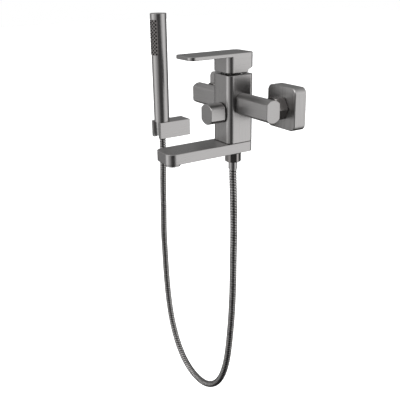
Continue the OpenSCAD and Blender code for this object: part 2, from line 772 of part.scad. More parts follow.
// Stem under the column: it carries the spout and ends in the thread for the hose nut
module outlet_stem() {
    color(brass) at_column() difference() {
        union() {
            translate([0, 0, -column_drop - 1])
                cylinder(h = stem_thread_top + column_drop + 1, r = half_inch_r);
            translate([0, 0, stem_flange_top - 1])
                cylinder(h = -column_drop - stem_flange_top + 1, r = stem_collar_r);
            translate([0, 0, stem_flange_top - stem_flange_t])
                cylinder(h = stem_flange_t, r = stem_flange_r);
            translate([0, 0, stem_end]) cylinder(h = stem_flange_top - stem_end, r = half_inch_r);
        }
        translate([0, 0, transfer_bottom + 2]) cylinder(h = column_drop, r = stem_bore_r);
        translate([0, 0, transfer_bottom]) cylinder(h = 3, r = transfer_r + fit_gap);
        translate([0, 0, stem_end - 1]) cylinder(h = valve_top - stem_end + 1, r = valve_r);
        translate([0, 0, valve_top - 1]) cylinder(h = transfer_bottom - valve_top + 2, r = transfer_r - 1);
        for (a = [0, 90, 180, 270]) translate([0, 0, spout_mid]) rotate([0, 90, a])
            cylinder(h = stem_collar_r + 1, r = 2.5);
        for (z = o_ring_offsets) translate([0, 0, spout_mid + z])
            ring(stem_collar_r + 1, stem_collar_r - 2.05, -1.1, 1.1);
    }
}

module spout_o_rings() {
    color(black_rubber) at_column() for (z = o_ring_offsets) translate([0, 0, spout_mid + z])
        rotate_extrude() translate([stem_collar_r - o_ring_r - 0.08, 0]) circle(o_ring_r, $fn = 32);
}

// Tube that takes the shower water through the middle of the outlet stem
module transfer_tube() {
    color(steel) at_column() ring(transfer_r, transfer_r - 1, transfer_bottom, transfer_top);
}

module check_valve() {
    color(white_plastic) at_column() difference() {
        translate([0, 0, stem_end + 0.2]) cylinder(h = valve_top - stem_end - 0.2, r = valve_r - fit_gap);
        translate([0, 0, stem_end - 1]) cylinder(h = 6, r = valve_r - 1.5);
        translate([0, 0, valve_top - 4]) cylinder(h = 6, r = transfer_r - 1);
    }
}

module aerator_housing() {
    color(gunmetal) at_column() translate([0, -aerator_y, 0]) difference() {
        union() {
            translate([0, 0, spout_bottom]) cylinder(h = aerator_body_len, r = aerator_thread_r);
            translate([0, 0, rim_bottom]) cylinder(h = aerator_proud + aerator_body_len, r = aerator_r);
        }
        translate([0, 0, rim_bottom + aerator_lip_t])
            cylinder(h = aerator_proud + aerator_body_len, r = aerator_r - aerator_wall);
        translate([0, 0, rim_bottom - 1])
            cylinder(h = aerator_proud + 2, r = aerator_r - aerator_wall - aerator_lip);
    }
}

// Perforated insert that mixes air into the water
module aerator_insert() {
    insert_r = aerator_r - aerator_wall - fit_gap;
    insert_len = aerator_proud + aerator_body_len - aerator_lip_t;
    hole_r = 1.2;
    color(dark_metal) at_column() translate([0, -aerator_y, rim_bottom + aerator_lip_t]) difference() {
        cylinder(h = insert_len, r = insert_r);
        for (i = [0:5]) rotate(60 * i) translate([insert_r / 2, 0, -1])
            cylinder(h = insert_len + 2, r = hole_r);
        translate([0, 0, -1]) cylinder(h = insert_len + 2, r = hole_r);
    }
}

module aerator_seal() {
    color(black_rubber) at_column() translate([0, -aerator_y, 0])
        ring(aerator_thread_r, aerator_r - 3, spout_bottom + aerator_body_len,
            spout_bottom + aerator_thread_len);
}

module hose_nut() {
    color(gunmetal) at_column() difference() {
        hexagon_nut(hose_nut_flats, hose_nut_r, 0.8, hose_nut_bottom, hose_nut_top);
        translate([0, 0, hose_nut_bottom + lip_t]) cylinder(h = hose_nut_len, r = half_inch_r + run_gap);
        translate([0, 0, hose_nut_bottom - 1]) cylinder(h = lip_t + 2, r = ferrule_r + fit_gap);
    }
}

module hose_washer() {
    color(black_rubber) at_column() ring(hose_flange_r, valve_r - 2.5, flange_top, stem_end);
}

// Flanged tube crimped on one end of the hose, from its flange down
module ferrule(len) {
    difference() {
        union() {
            translate([0, 0, -hose_flange_t]) cylinder(h = hose_flange_t, r = hose_flange_r);
            translate([0, 0, -hose_flange_t - len]) cylinder(h = len + 1, r = ferrule_r);
        }
        translate([0, 0, -hose_flange_t - len - 1]) cylinder(h = len + hose_flange_t + 2, r = hose_bore_r);
    }
}

module hose_ferrule() {
    color(gunmetal) at_column() translate([0, 0, flange_top]) ferrule(lip_t + ferrule_len);
}

// Ribbed hose: a smooth curve through the route, with a ring at each crest and each groove
function span(route, i) = norm(route[i + 1] - route[i]);
function reach(route, i) = i == 0 ? 0 : reach(route, i - 1) + span(route, i - 1);
function slope(route, i) =
    i == 0 ? (route[1] - route[0]) / span(route, 0)
    : i == len(route) - 1 ? (route[i] - route[i - 1]) / span(route, i - 1)
    : (route[i + 1] - route[i - 1]) / (span(route, i - 1) + span(route, i));
function blend(a, b, da, db, l, t) =
    (2 * pow(t, 3) - 3 * pow(t, 2) + 1) * a + (pow(t, 3) - 2 * pow(t, 2) + t) * l * da
    + (3 * pow(t, 2) - 2 * pow(t, 3)) * b + (pow(t, 3) - pow(t, 2)) * l * db;
function unit(v) = v / norm(v);

module shower_hose() {
    sides = 8;
    last = len(hose_route) - 1;
    reaches = [for (i = [0:last]) reach(hose_route, i)];
    slopes = [for (i = [0:last]) slope(hose_route, i)];
    rings = 2 * rib_count + 1;
    spots = [for (k = [0:rings - 1]) reaches[last] * k / (rings - 1)];
    legs = [for (s = spots) max([for (i = [0:last - 1]) if (reaches[i] <= s + eps) i])];
    centres = [for (k = [0:rings - 1]) let (i = legs[k], l = reaches[i + 1] - reaches[i])
        blend(hose_route[i], hose_route[i + 1], slopes[i], slopes[i + 1], l, (spots[k] - reaches[i]) / l)];
    ahead = [for (k = [0:rings - 1]) unit(centres[min(k + 1, rings - 1)] - centres[max(k - 1, 0)])];
    out = [for (k = [0:rings - 1]) unit(cross(ahead[k], [0, 1, 0]))];
    skin = [for (k = [0:rings - 1], j = [0:sides - 1])
        let (r = hose_r - (k % 2 == 0 ? rib_depth : 0), a = 360 * (j + 0.5) / sides)
        centres[k] + r * cos(a) * out[k] + r * sin(a) * unit(cross(ahead[k], out[k]))];
    bore_step = 7;
    bore_ks = concat([for (k = [0:bore_step:rings - 2]) k], [rings - 1]);
    bore = [for (k = bore_ks, j = [0:sides - 1]) let (a = 360 * (j + 0.5) / sides)
        centres[k] + hose_bore_r * (cos(a) * out[k] + sin(a) * unit(cross(ahead[k], out[k])))];
    inner = len(skin);
    skin_faces = [for (k = [0:rings - 2], j = [0:sides - 1])
        let (a = k * sides + j, b = k * sides + (j + 1) % sides)
        each [[a, b, b + sides], [a, b + sides, a + sides]]];
    bore_faces = [for (k = [0:len(bore_ks) - 2], j = [0:sides - 1])
        let (a = inner + k * sides + j, b = inner + k * sides + (j + 1) % sides)
        each [[a, b + sides, b], [a, a + sides, b + sides]]];
    first_end = [for (j = [0:sides - 1]) let (n = (j + 1) % sides)
        each [[j, inner + j, inner + n], [j, inner + n, n]]];
    s0 = (rings - 1) * sides;
    b0 = inner + (len(bore_ks) - 1) * sides;
    last_end = [for (j = [0:sides - 1]) let (n = (j + 1) % sides)
        each [[s0 + j, s0 + n, b0 + n], [s0 + j, b0 + n, b0 + j]]];
    echo(hose_length_mm = reaches[last]);
    color(steel) polyhedron(points = concat(skin, bore),
        faces = concat(skin_faces, bore_faces, first_end, last_end), convexity = 10);
}

// Radius of the conical neck and nut of the hand shower, at a depth below its shoulder
function cone_r(depth) = neck_top_r - cone_taper * depth;

module cone_nut() {
    color(gunmetal) at_handset() difference() {
        translate([0, 0, cone_nut_bottom])
            cylinder(h = cone_nut_len, r1 = cone_r(-cone_nut_bottom), r2 = cone_r(-cone_nut_top));
        translate([0, 0, cone_nut_bottom + lip_t]) cylinder(h = cone_nut_len, r = cone_thread_r + run_gap);
        translate([0, 0, cone_nut_bottom - 1]) cylinder(h = lip_t + 2, r = ferrule_r + fit_gap);
    }
}

module cone_washer() {
    color(black_rubber) at_handset() ring(cone_thread_r - 0.3, neck_bore_r - 1, cone_flange_top, neck_end);
}

module cone_ferrule() {
    color(gunmetal) at_handset() translate([0, 0, cone_flange_top]) difference() {
        union() {
            translate([0, 0, -hose_flange_t]) cylinder(h = hose_flange_t, r = cone_thread_r - 0.3);
            translate([0, 0, -hose_flange_t - lip_t - cone_ferrule_len])
                cylinder(h = lip_t + cone_ferrule_len + 1, r = ferrule_r);
        }
        translate([0, 0, -20]) cylinder(h = 30, r = hose_bore_r);
    }
}

// Brass neck: plug in the tube, conical collar in the bracket, thread for the cone nut
module handset_neck() {
    color(gunmetal) at_handset() difference() {
        union() {
            cylinder(h = neck_plug_len, r = tube_bore_r - fit_gap);
            translate([0, 0, -neck_collar_len])
                cylinder(h = neck_collar_len, r1 = cone_r(neck_collar_len), r2 = cone_r(0));
            translate([0, 0, neck_end]) cylinder(h = 1 - neck_end, r = cone_thread_r);
        }
        translate([0, 0, neck_end - 1]) cylinder(h = 40, r = neck_bore_r);
    }
}

// Wedge that marks out the spray face on the front of the tube
module spray_wedge(half_angle, low, high) {
    far = 60;
    translate([0, 0, low]) linear_extrude(high - low)
        polygon([[0, 0], [-far * sin(half_angle), -far * cos(half_angle)], [0, -far * 2],
            [far * sin(half_angle), -far * cos(half_angle)]]);
}

module handset_tube() {
    color(gunmetal) at_handset() difference() {
        rotate_extrude() polygon([[0, fit_gap], [handset_base_r, fit_gap],
            [handset_top_r, handset_len - edge_cut], [handset_top_r - edge_cut, handset_len],
            [0, handset_len]]);
        translate([0, 0, -1]) cylinder(h = handset_len + 2, r = tube_bore_r);
        spray_wedge(spray_half_angle, spray_bottom, spray_top);
    }
}

module water_tube() {
    color(white_plastic) at_handset()
        ring(neck_bore_r - fit_gap, neck_bore_r - 1.5, 2, core_bottom + core_socket);
}

// Core that spreads the water behind the nozzles
module spray_core() {
    color(white_plastic) at_handset() difference() {
        translate([0, 0, core_bottom]) cylinder(h = core_top - core_bottom, r = mat_inner_r - fit_gap);
        translate([0, 0, spray_bottom + nozzle_margin])
            cylinder(h = spray_len - 2 * nozzle_margin, r = core_chamber_r);
        translate([-4, -30, spray_bottom + nozzle_margin]) cube([8, 30, spray_len - 2 * nozzle_margin]);
        translate([0, 0, core_bottom - 1]) cylinder(h = core_socket + 1, r = neck_bore_r);
        translate([0, 0, core_bottom - 1]) cylinder(h = 12, r = neck_bore_r - 1.5);
    }
}

// Places a child at every nozzle: rows up the tube, every second row turned by half a step
module at_nozzles() {
    pitch_z = (spray_len - 2 * nozzle_margin) / (nozzle_rows - 1);
    first_a = nozzle_side_margin - spray_half_angle;
    pitch_a = -2 * first_a / (nozzle_columns - 1);
    for (row = [0:nozzle_rows - 1]) for (k = [0:nozzle_columns - 1 - row % 2])
        translate([0, 0, spray_bottom + nozzle_margin + row * pitch_z])
            rotate([90, 0, first_a + (k + 0.5 * (row % 2)) * pitch_a]) children();
}

module nozzle_mat() {
    color(black_rubber) at_handset() union() {
        intersection() {
            ring(mat_outer_r - fit_gap, mat_inner_r, spray_bottom + 0.5, spray_top - 0.5);
            spray_wedge(spray_half_angle - 1, spray_bottom, spray_top);
        }
        at_nozzles() translate([0, 0, mat_inner_r + 0.2])
            cylinder(h = nozzle_tip_r - mat_inner_r - 0.2, r = nozzle_r, $fn = 16);
    }
}

module spray_plate() {
    color(dark_metal) at_handset() difference() {
        intersection() {
            ring(plate_r, mat_outer_r, spray_bottom + fit_gap, spray_top - fit_gap);
            spray_wedge(spray_half_angle - 0.5, spray_bottom, spray_top);
        }
        at_nozzles() translate([0, 0, mat_inner_r]) cylinder(h = 10, r = nozzle_r + fit_gap, $fn = 16);
    }
}

module handset_cap() {
    color(gunmetal) at_handset() translate([0, 0, handset_len - cap_t - 0.2])
        cylinder(h = cap_t, r = tube_bore_r - run_gap);
}

module bracket_block() {
    color(gunmetal) at_bracket() difference() {
        eased_plate(bracket_w, -bracket_len, 0, bracket_corner_r, bracket_corner_r, -bracket_h / 2,
            bracket_h / 2, edge_cut, edge_cut);
        translate([0, -handset_from_wall, -bracket_h / 2 - 1])
            cylinder(h = bracket_h + 2, r1 = cone_r(bracket_h + 1) + seat_gap, r2 = cone_r(-1) + seat_gap);
        translate([-fork_half_gap, -2 * bracket_len, -bracket_h])
            cube([2 * fork_half_gap, 2 * bracket_len - handset_from_wall - 2, 2 * bracket_h]);
        translate([-plate_w / 2 - fit_gap, -plate_t - fit_gap, -plate_h / 2 - fit_gap])
            cube([plate_w + 2 * fit_gap, plate_t + fit_gap + 1, plate_h + 2 * fit_gap]);
        to_front() cylinder(h = stub_len + 0.5, r = stub_r + fit_gap);
        translate([0, -grub_from_wall, -bracket_h]) cylinder(h = bracket_h, r = grub_r + run_gap);
    }
}

// Plate with two screw holes for the wall and the stub that the block slides on
module bracket_plate() {
    color(steel) at_bracket() difference() {
        union() {
            translate([-plate_w / 2, -plate_t, -plate_h / 2]) cube([plate_w, plate_t, plate_h]);
            to_front() cylinder(h = stub_len, r = stub_r);
        }
        for (side = [-1, 1]) translate([side * bracket_screw_spacing / 2, 0, 0]) to_front() {
            translate([0, 0, -1]) cylinder(h = plate_t + 2, r = screw_r + fit_gap);
            translate([0, 0, plate_t - screw_head_t - fit_gap])
                cylinder(h = plate_t, r = screw_head_r + fit_gap);
        }
    }
}

module bracket_grub_screw() {
    color(dark_metal) at_bracket() translate([0, -grub_from_wall, -stub_r - fit_gap]) rotate([180, 0, 0])
        grub_screw(bracket_h / 2 - stub_r - 1.5);
}

column_body();
arm(-1);  // arm_left
arm(1);  // arm_right
arm_seals();
union_nut(-1);  // union_nut_left
union_nut(1);  // union_nut_right
filter_washers();
wall_union(-1);  // wall_union_left
wall_union(1);  // wall_union_right
escutcheon(-1);  // escutcheon_left
escutcheon(1);  // escutcheon_right
cartridge_case();
cartridge_seals();
fixed_disc();
sliding_disc();
disc_carrier();
cartridge_turret();
pivot_pin();
lever_stem();
cartridge_nut();
lever_handle();
lever_grub_screw();
lever_plug();
diverter_bonnet();
bonnet_seal();
diverter_spindle();
diverter_rotor();
diverter_knob();
knob_grub_screw();
spout();
spout_glide_ring();
outlet_stem();
spout_o_rings();
transfer_tube();
check_valve();
aerator_housing();
aerator_insert();
aerator_seal();
hose_nut();
hose_washer();
hose_ferrule();
shower_hose();
cone_nut();
cone_washer();
cone_ferrule();
handset_neck();
handset_tube();
water_tube();
spray_core();
nozzle_mat();
spray_plate();
handset_cap();
bracket_block();
bracket_plate();
bracket_grub_screw();
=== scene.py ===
# Wall-mounted bath and shower mixer tap with a hand shower: its looks, in metres.
# +X is to the right as seen from the front, +Y goes into the wall and +Z is up.
import bpy
import math
import numpy as np
from mathutils import Matrix, Vector


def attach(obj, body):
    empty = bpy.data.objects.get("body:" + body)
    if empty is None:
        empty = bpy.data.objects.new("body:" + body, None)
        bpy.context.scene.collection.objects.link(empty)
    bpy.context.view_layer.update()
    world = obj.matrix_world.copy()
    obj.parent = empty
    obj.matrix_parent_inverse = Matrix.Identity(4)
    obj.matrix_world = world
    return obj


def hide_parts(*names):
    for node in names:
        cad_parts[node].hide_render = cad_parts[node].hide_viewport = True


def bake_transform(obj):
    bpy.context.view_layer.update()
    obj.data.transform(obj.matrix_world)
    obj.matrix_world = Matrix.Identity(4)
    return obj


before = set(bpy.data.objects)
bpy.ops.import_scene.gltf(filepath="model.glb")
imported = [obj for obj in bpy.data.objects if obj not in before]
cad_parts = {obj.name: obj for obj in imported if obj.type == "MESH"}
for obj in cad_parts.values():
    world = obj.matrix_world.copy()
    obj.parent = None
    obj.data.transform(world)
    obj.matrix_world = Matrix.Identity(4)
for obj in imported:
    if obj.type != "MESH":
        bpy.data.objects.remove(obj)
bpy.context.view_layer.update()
print("frame loaded:", len(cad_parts), "pieces")

# Camera

cameraView = {
    "place": (0.742715, -0.580701, 0.189881),
    "turn": 57.564,   # degrees round from the front
    "rise": 20.223,   # degrees above the horizon
    "roll": -0.892,
    "lens": 55.998,   # millimetres
    "sensor": 36,     # its width in millimetres
    "farthest": 50,   # metres
}


def placeCamera(view):
    turn, rise, roll = (math.radians(view[k]) for k in ("turn", "rise", "roll"))
    away = Vector((math.sin(turn) * math.cos(rise), -math.cos(turn) * math.cos(rise), math.sin(rise)))
    level = Vector((math.cos(turn), math.sin(turn), 0))
    upright = away.cross(level)
    right = level * math.cos(roll) + upright * math.sin(roll)
    up = upright * math.cos(roll) - level * math.sin(roll)
    lens = bpy.data.cameras.new("camera")
    lens.lens, lens.sensor_width, lens.clip_end = view["lens"], view["sensor"], view["farthest"]
    camera = bpy.data.objects.new("camera", lens)
    bpy.context.collection.objects.link(camera)
    camera.matrix_world = Matrix.Translation(view["place"]) @ Matrix((right, up, away)).transposed().to_4x4()
    bpy.context.scene.camera = camera


placeCamera(cameraView)
print("camera placed")

# Meshes from arrays


def meshPiece(name, points, faces, smooth=True):
    # points is an array of places, faces a list of arrays, each with as many corners as its row is long
    mesh = bpy.data.meshes.new(name)
    mesh.from_pydata(points.reshape(-1, 3).tolist(), [], [f for block in faces for f in block.tolist()])
    mesh.update()
    mesh.polygons.foreach_set("use_smooth", np.full(len(mesh.polygons), smooth))
    piece = bpy.data.objects.new(name, mesh)
    bpy.context.collection.objects.link(piece)
    return piece


def gridFaces(rows, columns):
    # corners (i, j), (i, j+1), (i+1, j+1), (i+1, j) of each cell; the last column is joined to the first
    i, j = np.meshgrid(np.arange(rows - 1), np.arange(columns), indexing="ij")
    after, below, above = (j + 1) % columns, i * columns, (i + 1) * columns
    return np.stack([below + j, below + after, above + after, above + j], -1).reshape(-1, 4)


def fanFaces(start, columns, hub, turned):
    # triangles from one ring of points to a hub point
    here = np.arange(columns)
    after = (here + 1) % columns
    sides = (after, here) if turned else (here, after)
    return np.stack([start + sides[0], start + sides[1], np.full(columns, hub)], -1)


def setValues(piece, name, values):
    # one number for each point of the mesh, for its material to read
    attribute = piece.data.attributes.new(name, "FLOAT", "POINT")
    attribute.data.foreach_set("value", values.astype(np.float32).ravel())


# Shower hose

hose = {
    "radius": 0.0057,
    "groove": 0.0005,       # depth between two ribs
    "pitch": 0.0044,        # distance between two ribs
    "grooveWidth": 0.19,    # in parts of the pitch
    "ringsPerRib": 12,
    "around": 20,
    "spanSteps": 80,        # steps between two points of the route, before they are made even
    "ringsPerPathPoint": 8,
    "tapEnd": (0.0, -0.048, -0.0951),
    "handEnd": (-0.216, -0.0495, -0.0893),
    "route": [              # millimetres
        (2, -48, -150), (3, -48, -200), (2, -48, -250), (1, -48, -300), (-2, -48, -350), (-7, -48, -395),
        (-14, -48, -440), (-24, -48, -475), (-38, -48, -503), (-58, -48, -526), (-82, -49, -540),
        (-108, -49, -545), (-134, -49, -542), (-158, -49, -531), (-178, -49, -513), (-193, -49, -490),
        (-206, -49, -459), (-215, -49, -420), (-220, -49, -380), (-223, -49, -330), (-223, -50, -280),
        (-221, -50, -230), (-219, -50, -180), (-216, -50, -135)],
}


def smoothRoute(points, spanSteps, step):
    # cubic between each two points: (2t3-3t2+1)a + (t3-2t2+t)L a' + (3t2-2t3)b + (t3-t2)L b'
    # L is the distance of the two and a' and b' are the directions there; then it is cut into even steps
    spans = np.linalg.norm(np.diff(points, axis=0), axis=1)
    slopes = np.empty_like(points)
    slopes[0], slopes[-1] = (points[1] - points[0]) / spans[0], (points[-1] - points[-2]) / spans[-1]
    slopes[1:-1] = (points[2:] - points[:-2]) / (spans[:-1] + spans[1:])[:, None]
    t = np.linspace(0, 1, spanSteps, endpoint=False)[None, :, None]
    a, b, span = points[:-1, None], points[1:, None], spans[:, None, None]
    slopeA, slopeB = slopes[:-1, None], slopes[1:, None]
    dense = ((2 * t**3 - 3 * t**2 + 1) * a + (t**3 - 2 * t**2 + t) * span * slopeA
             + (3 * t**2 - 2 * t**3) * b + (t**3 - t**2) * span * slopeB).reshape(-1, 3)
    dense = np.vstack([dense, points[-1:]])
    reach = np.concatenate([[0], np.cumsum(np.linalg.norm(np.diff(dense, axis=0), axis=1))])
    count = int(round(reach[-1] / step)) + 1
    even = np.linspace(0, reach[-1], count)
    return np.stack([np.interp(even, reach, dense[:, k]) for k in range(3)], -1), even


def makeHose(size):
    # radius at length s and angle a: R - g exp(-(d/w)^2), with d from s/pitch + a/360 to a whole number
    start, finish = np.array(size["tapEnd"]), np.array(size["handEnd"])
    drop = np.array([0, 0, 2 * size["radius"]])
    points = np.vstack([start, start - drop, np.array(size["route"]) / 1000, finish - drop, finish])
    centres, reach = smoothRoute(points, size["spanSteps"], size["pitch"] / size["ringsPerRib"])
    ahead = np.gradient(centres, axis=0)
    ahead /= np.linalg.norm(ahead, axis=1)[:, None]
    out = np.cross(ahead, [0, 1, 0])
    out /= np.linalg.norm(out, axis=1)[:, None]
    side = np.cross(ahead, out)
    angle = 2 * np.pi * np.arange(size["around"]) / size["around"]
    phase = reach[:, None] / size["pitch"] + angle[None, :] / (2 * np.pi)
    groove = np.exp(-((phase - np.round(phase)) / size["grooveWidth"]) ** 2)
    radius = size["radius"] - size["groove"] * groove
    skin = centres[:, None] + radius[..., None] * (np.cos(angle)[None, :, None] * out[:, None]
                                                   + np.sin(angle)[None, :, None] * side[:, None])
    rows, columns = skin.shape[:2]
    places = np.vstack([skin.reshape(-1, 3), centres[:1], centres[-1:]])
    last = rows * columns
    faces = [gridFaces(rows, columns), fanFaces(0, columns, last, True),
             fanFaces(last - columns, columns, last + 1, False)]
    piece = meshPiece("ribbedHose", places, faces)
    setValues(piece, "groove", np.concatenate([groove.ravel(), [0, 0]]))
    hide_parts("shower_hose")
    return piece, float(reach[-1])


hosePiece, hoseLength = makeHose(hose)
print("hose made, %.3f m long" % hoseLength)

# Spray face of the hand shower

spray = {
    "axis": (-0.216, -0.0495),
    "bottom": 0.0550,
    "top": 0.1140,
    "rows": 19,
    "columns": 4,
    "halfAngle": 54.0,      # degrees
    "sideMargin": 13.5,     # degrees
    "endMargin": 0.0022,
    "matOuter": 0.0114,
    "matInner": 0.0108,
    "matEdge": 1.0,            # degrees that the mat stays short of the plate's edge
    "matEnd": 0.0005,          # and length at each end
    "matSteps": 25,
    "nozzleRadius": 0.0011,
    "nozzleFoot": 0.0003,      # how deep a nozzle stands in the mat
    "collarRadius": 0.00155,   # of the rubber rim round each nozzle, on the plate
    "collar": 0.0003,          # height of that rim
    "collarFoot": 0.0001,      # how deep it stands in the plate
    "collarEdge": (0.88, 0.00026),   # its round edge ends at this share of its radius and this height
    "collarTop": 1.02,         # inner radius of the rim, in parts of the nozzle's
    "plate": 0.0139,           # distance of the plate's face from the hand shower's axis
    "tip": 0.0148,             # and of a nozzle's tip
    # a nozzle's round tip and then its hole: shares of its radius, and how far below the tip they lie
    "tipEdge": [(0.92, 0.0003), (0.78, 0.00006), (0.58, 0), (0.45, 0.00008)],
    "hole": (0.40, 0.0009),
    "around": 12,
}


def makeNozzles(size):
    # a nozzle is its profile (radius, height) turned about its own axis, which points away from the hand
    # shower: place = hub + height outwards + radius (cos b up + sin b sideways)
    plate, tip = size["plate"], size["tip"]
    r, rim, (edgeShare, edge) = size["nozzleRadius"], size["collarRadius"], size["collarEdge"]
    profile = np.array([
        [r, size["matOuter"] - size["nozzleFoot"]], [r, plate - size["collarFoot"]],
        [rim, plate - size["collarFoot"]], [rim, plate + size["collar"] / 2],
        [edgeShare * rim, plate + edge], [size["collarTop"] * r, plate + size["collar"]]]
        + [[share * r, tip - below] for share, below in size["tipEdge"] + [size["hole"]]])
    first = size["sideMargin"] - size["halfAngle"]
    pitchA = -2 * first / (size["columns"] - 1)
    pitchZ = (size["top"] - size["bottom"] - 2 * size["endMargin"]) / (size["rows"] - 1)
    row, column = (g.ravel() for g in np.indices((size["rows"], size["columns"])))
    kept = column < size["columns"] - row % 2
    row, column = row[kept], column[kept]
    a = np.radians(first + (column + 0.5 * (row % 2)) * pitchA)
    outwards = np.stack([np.sin(a), -np.cos(a), 0 * a], -1)
    sideways = np.stack([np.cos(a), np.sin(a), 0 * a], -1)
    hub = np.stack([0 * a + size["axis"][0], 0 * a + size["axis"][1],
                    size["bottom"] + size["endMargin"] + row * pitchZ], -1)
    b = 2 * np.pi * np.arange(size["around"]) / size["around"]
    ring = (np.cos(b)[:, None] * np.array([0, 0, 1.0])[None, None, :]
            + np.sin(b)[None, :, None] * sideways[:, None, :])
    places = (hub[:, None, None] + profile[None, :, None, 1:] * outwards[:, None, None]
              + profile[None, :, None, :1] * ring[:, None])
    floor = hub + profile[-1, 1] * outwards
    count, steps, around = places.shape[:3]
    each = steps * around
    cells = gridFaces(steps, around)[:, ::-1][None] + (np.arange(count) * each)[:, None, None]
    hubs = count * each + np.arange(count)
    here = np.arange(around)
    after = (here + 1) % around
    lastRing = (np.arange(1, count + 1) * each - around)[:, None]
    ends = np.stack([lastRing + after, lastRing + here, np.broadcast_to(hubs[:, None], (count, around))], -1)
    nozzlePoints = np.vstack([places.reshape(-1, 3), floor])
    # the mat behind them: place = axis + r (sin a, -cos a) + z, with r at its outer, then its inner face
    spread = np.radians(size["halfAngle"] - size["matEdge"])
    turn = np.linspace(-spread, spread, size["matSteps"])
    arc = np.stack([np.sin(turn), -np.cos(turn)], -1)
    section = np.concatenate([size["matOuter"] * arc, size["matInner"] * arc[::-1]])
    height = np.array([size["bottom"] + size["matEnd"], size["top"] - size["matEnd"]])
    mat = np.stack([np.broadcast_to(section[None, :, 0] + size["axis"][0], (2, len(section))),
                    np.broadcast_to(section[None, :, 1] + size["axis"][1], (2, len(section))),
                    np.broadcast_to(height[:, None], (2, len(section)))], -1)
    base = len(nozzlePoints)
    outer = np.arange(len(turn) - 1)
    inner = len(section) - 1 - outer
    lid = np.stack([outer, outer + 1, inner - 1, inner], -1)
    faces = [cells.reshape(-1, 4), ends.reshape(-1, 3), gridFaces(2, len(section)) + base,
             lid[:, ::-1] + base, lid + base + len(section)]
    piece = meshPiece("sprayNozzles", np.vstack([nozzlePoints, mat.reshape(-1, 3)]), faces)
    roundOnes = count * (len(cells[0]) + around)
    piece.data.polygons.foreach_set("use_smooth", np.arange(len(piece.data.polygons)) < roundOnes)
    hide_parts("nozzle_mat")
    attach(piece, "handset")
    return piece


nozzlePiece = makeNozzles(spray)
print("spray nozzles made")

# Aerator grid under the spout

aerator = {
    "centre": (0.0, -0.154),
    "height": -0.0716,      # lower face of the grid
    "depth": 0.0009,
    "radius": 0.0083,
    "cell": 0.00105,        # radius of one hole
    "wall": 0.00022,
    "reach": 6,             # cells tried each way from the middle
}


def makeGrid(size):
    # hexagonal cells on a triangular lattice: each a ring of six walls between radius c and c + w
    pitch = math.sqrt(3) * (size["cell"] + size["wall"])
    tried = np.arange(-size["reach"], size["reach"] + 1)
    u, v = (g.ravel() for g in np.meshgrid(tried, tried))
    centres = np.stack([(u + 0.5 * v) * pitch, v * pitch * math.sqrt(3) / 2], -1)
    centres = centres[np.linalg.norm(centres, axis=1) < size["radius"] - size["cell"]]
    corner = np.radians(30 + 60 * np.arange(6))
    flat = np.stack([np.cos(corner), np.sin(corner)], -1)
    inner, outer = size["cell"], size["cell"] + size["wall"]
    rings = [(inner, 0), (outer, 0), (outer, size["depth"]), (inner, size["depth"])]
    places = np.stack([np.concatenate([centres[:, None] + radius * flat[None],
                                       np.full((len(centres), len(corner), 1), height)], -1)
                       for radius, height in rings], 1)
    places[..., :2] += np.array(size["centre"])
    places[..., 2] += size["height"]
    i, j = np.indices((len(rings), len(corner)))
    ring, nextRing = i * len(corner), (i + 1) % len(rings) * len(corner)
    after = (j + 1) % len(corner)
    cell = np.stack([ring + j, nextRing + j, nextRing + after, ring + after], -1)
    starts = np.arange(len(centres)) * len(rings) * len(corner)
    cells = cell.reshape(-1, 4)[None] + starts[:, None, None]
    piece = meshPiece("aeratorGrid", places, [cells.reshape(-1, 4)], smooth=False)
    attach(piece, "spout")
    return piece


gridPiece = makeGrid(aerator)
print("aerator grid made")

# Materials


class Field:
    # a value in a node tree; arithmetic on it adds Math nodes
    def __init__(self, tree, socket):
        self.tree, self.socket = tree, socket

    def __add__(self, other):
        return mathNode(self.tree, "ADD", self, other)

    def __radd__(self, other):
        return mathNode(self.tree, "ADD", other, self)

    def __sub__(self, other):
        return mathNode(self.tree, "SUBTRACT", self, other)

    def __rsub__(self, other):
        return mathNode(self.tree, "SUBTRACT", other, self)

    def __mul__(self, other):
        return mathNode(self.tree, "MULTIPLY", self, other)

    def __rmul__(self, other):
        return mathNode(self.tree, "MULTIPLY", other, self)


def plug(tree, slot, value):
    if isinstance(value, Field):
        tree.links.new(value.socket, slot)
    else:
        slot.default_value = value


def mathNode(tree, operation, *values):
    made = tree.nodes.new("ShaderNodeMath")
    made.operation = operation
    for slot, value in zip(made.inputs, values):
        plug(tree, slot, value)
    return Field(tree, made.outputs[0])


class Nodes:
    # one node tree, and the single method that adds a node to it
    def __init__(self, tree):
        self.tree = tree
        tree.nodes.clear()

    def add(self, kind, settings=None, values=None, output=0):
        made = self.tree.nodes.new(kind)
        for key, value in (settings or {}).items():
            setattr(made, key, value)
        for key, value in (values or {}).items():
            plug(self.tree, made.inputs[key], value)
        return Field(self.tree, made.outputs[output])

    def ramp(self, value, low, high, interpolation="SMOOTHSTEP"):
        return self.add("ShaderNodeMapRange", {"interpolation_type": interpolation},
                        {"Value": value, "From Min": low, "From Max": high})

    def blend(self, factor, first, second):
        # in the colour form of this node, sockets 6 and 7 take the two colours and output 2 gives the blend
        return self.add("ShaderNodeMix", {"data_type": "RGBA"}, {0: factor, 6: first, 7: second}, 2)

    def bump(self, height, strength, depth=0.0001):
        return self.add("ShaderNodeBump", {}, {"Height": height, "Strength": strength, "Distance": depth})

    def noise(self, place, scale, detail=2.0):
        squeezed = self.add("ShaderNodeMapping", {}, {"Vector": place, "Scale": scale})
        return self.add("ShaderNodeTexNoise", {}, {"Vector": squeezed, "Scale": 1.0, "Detail": detail})


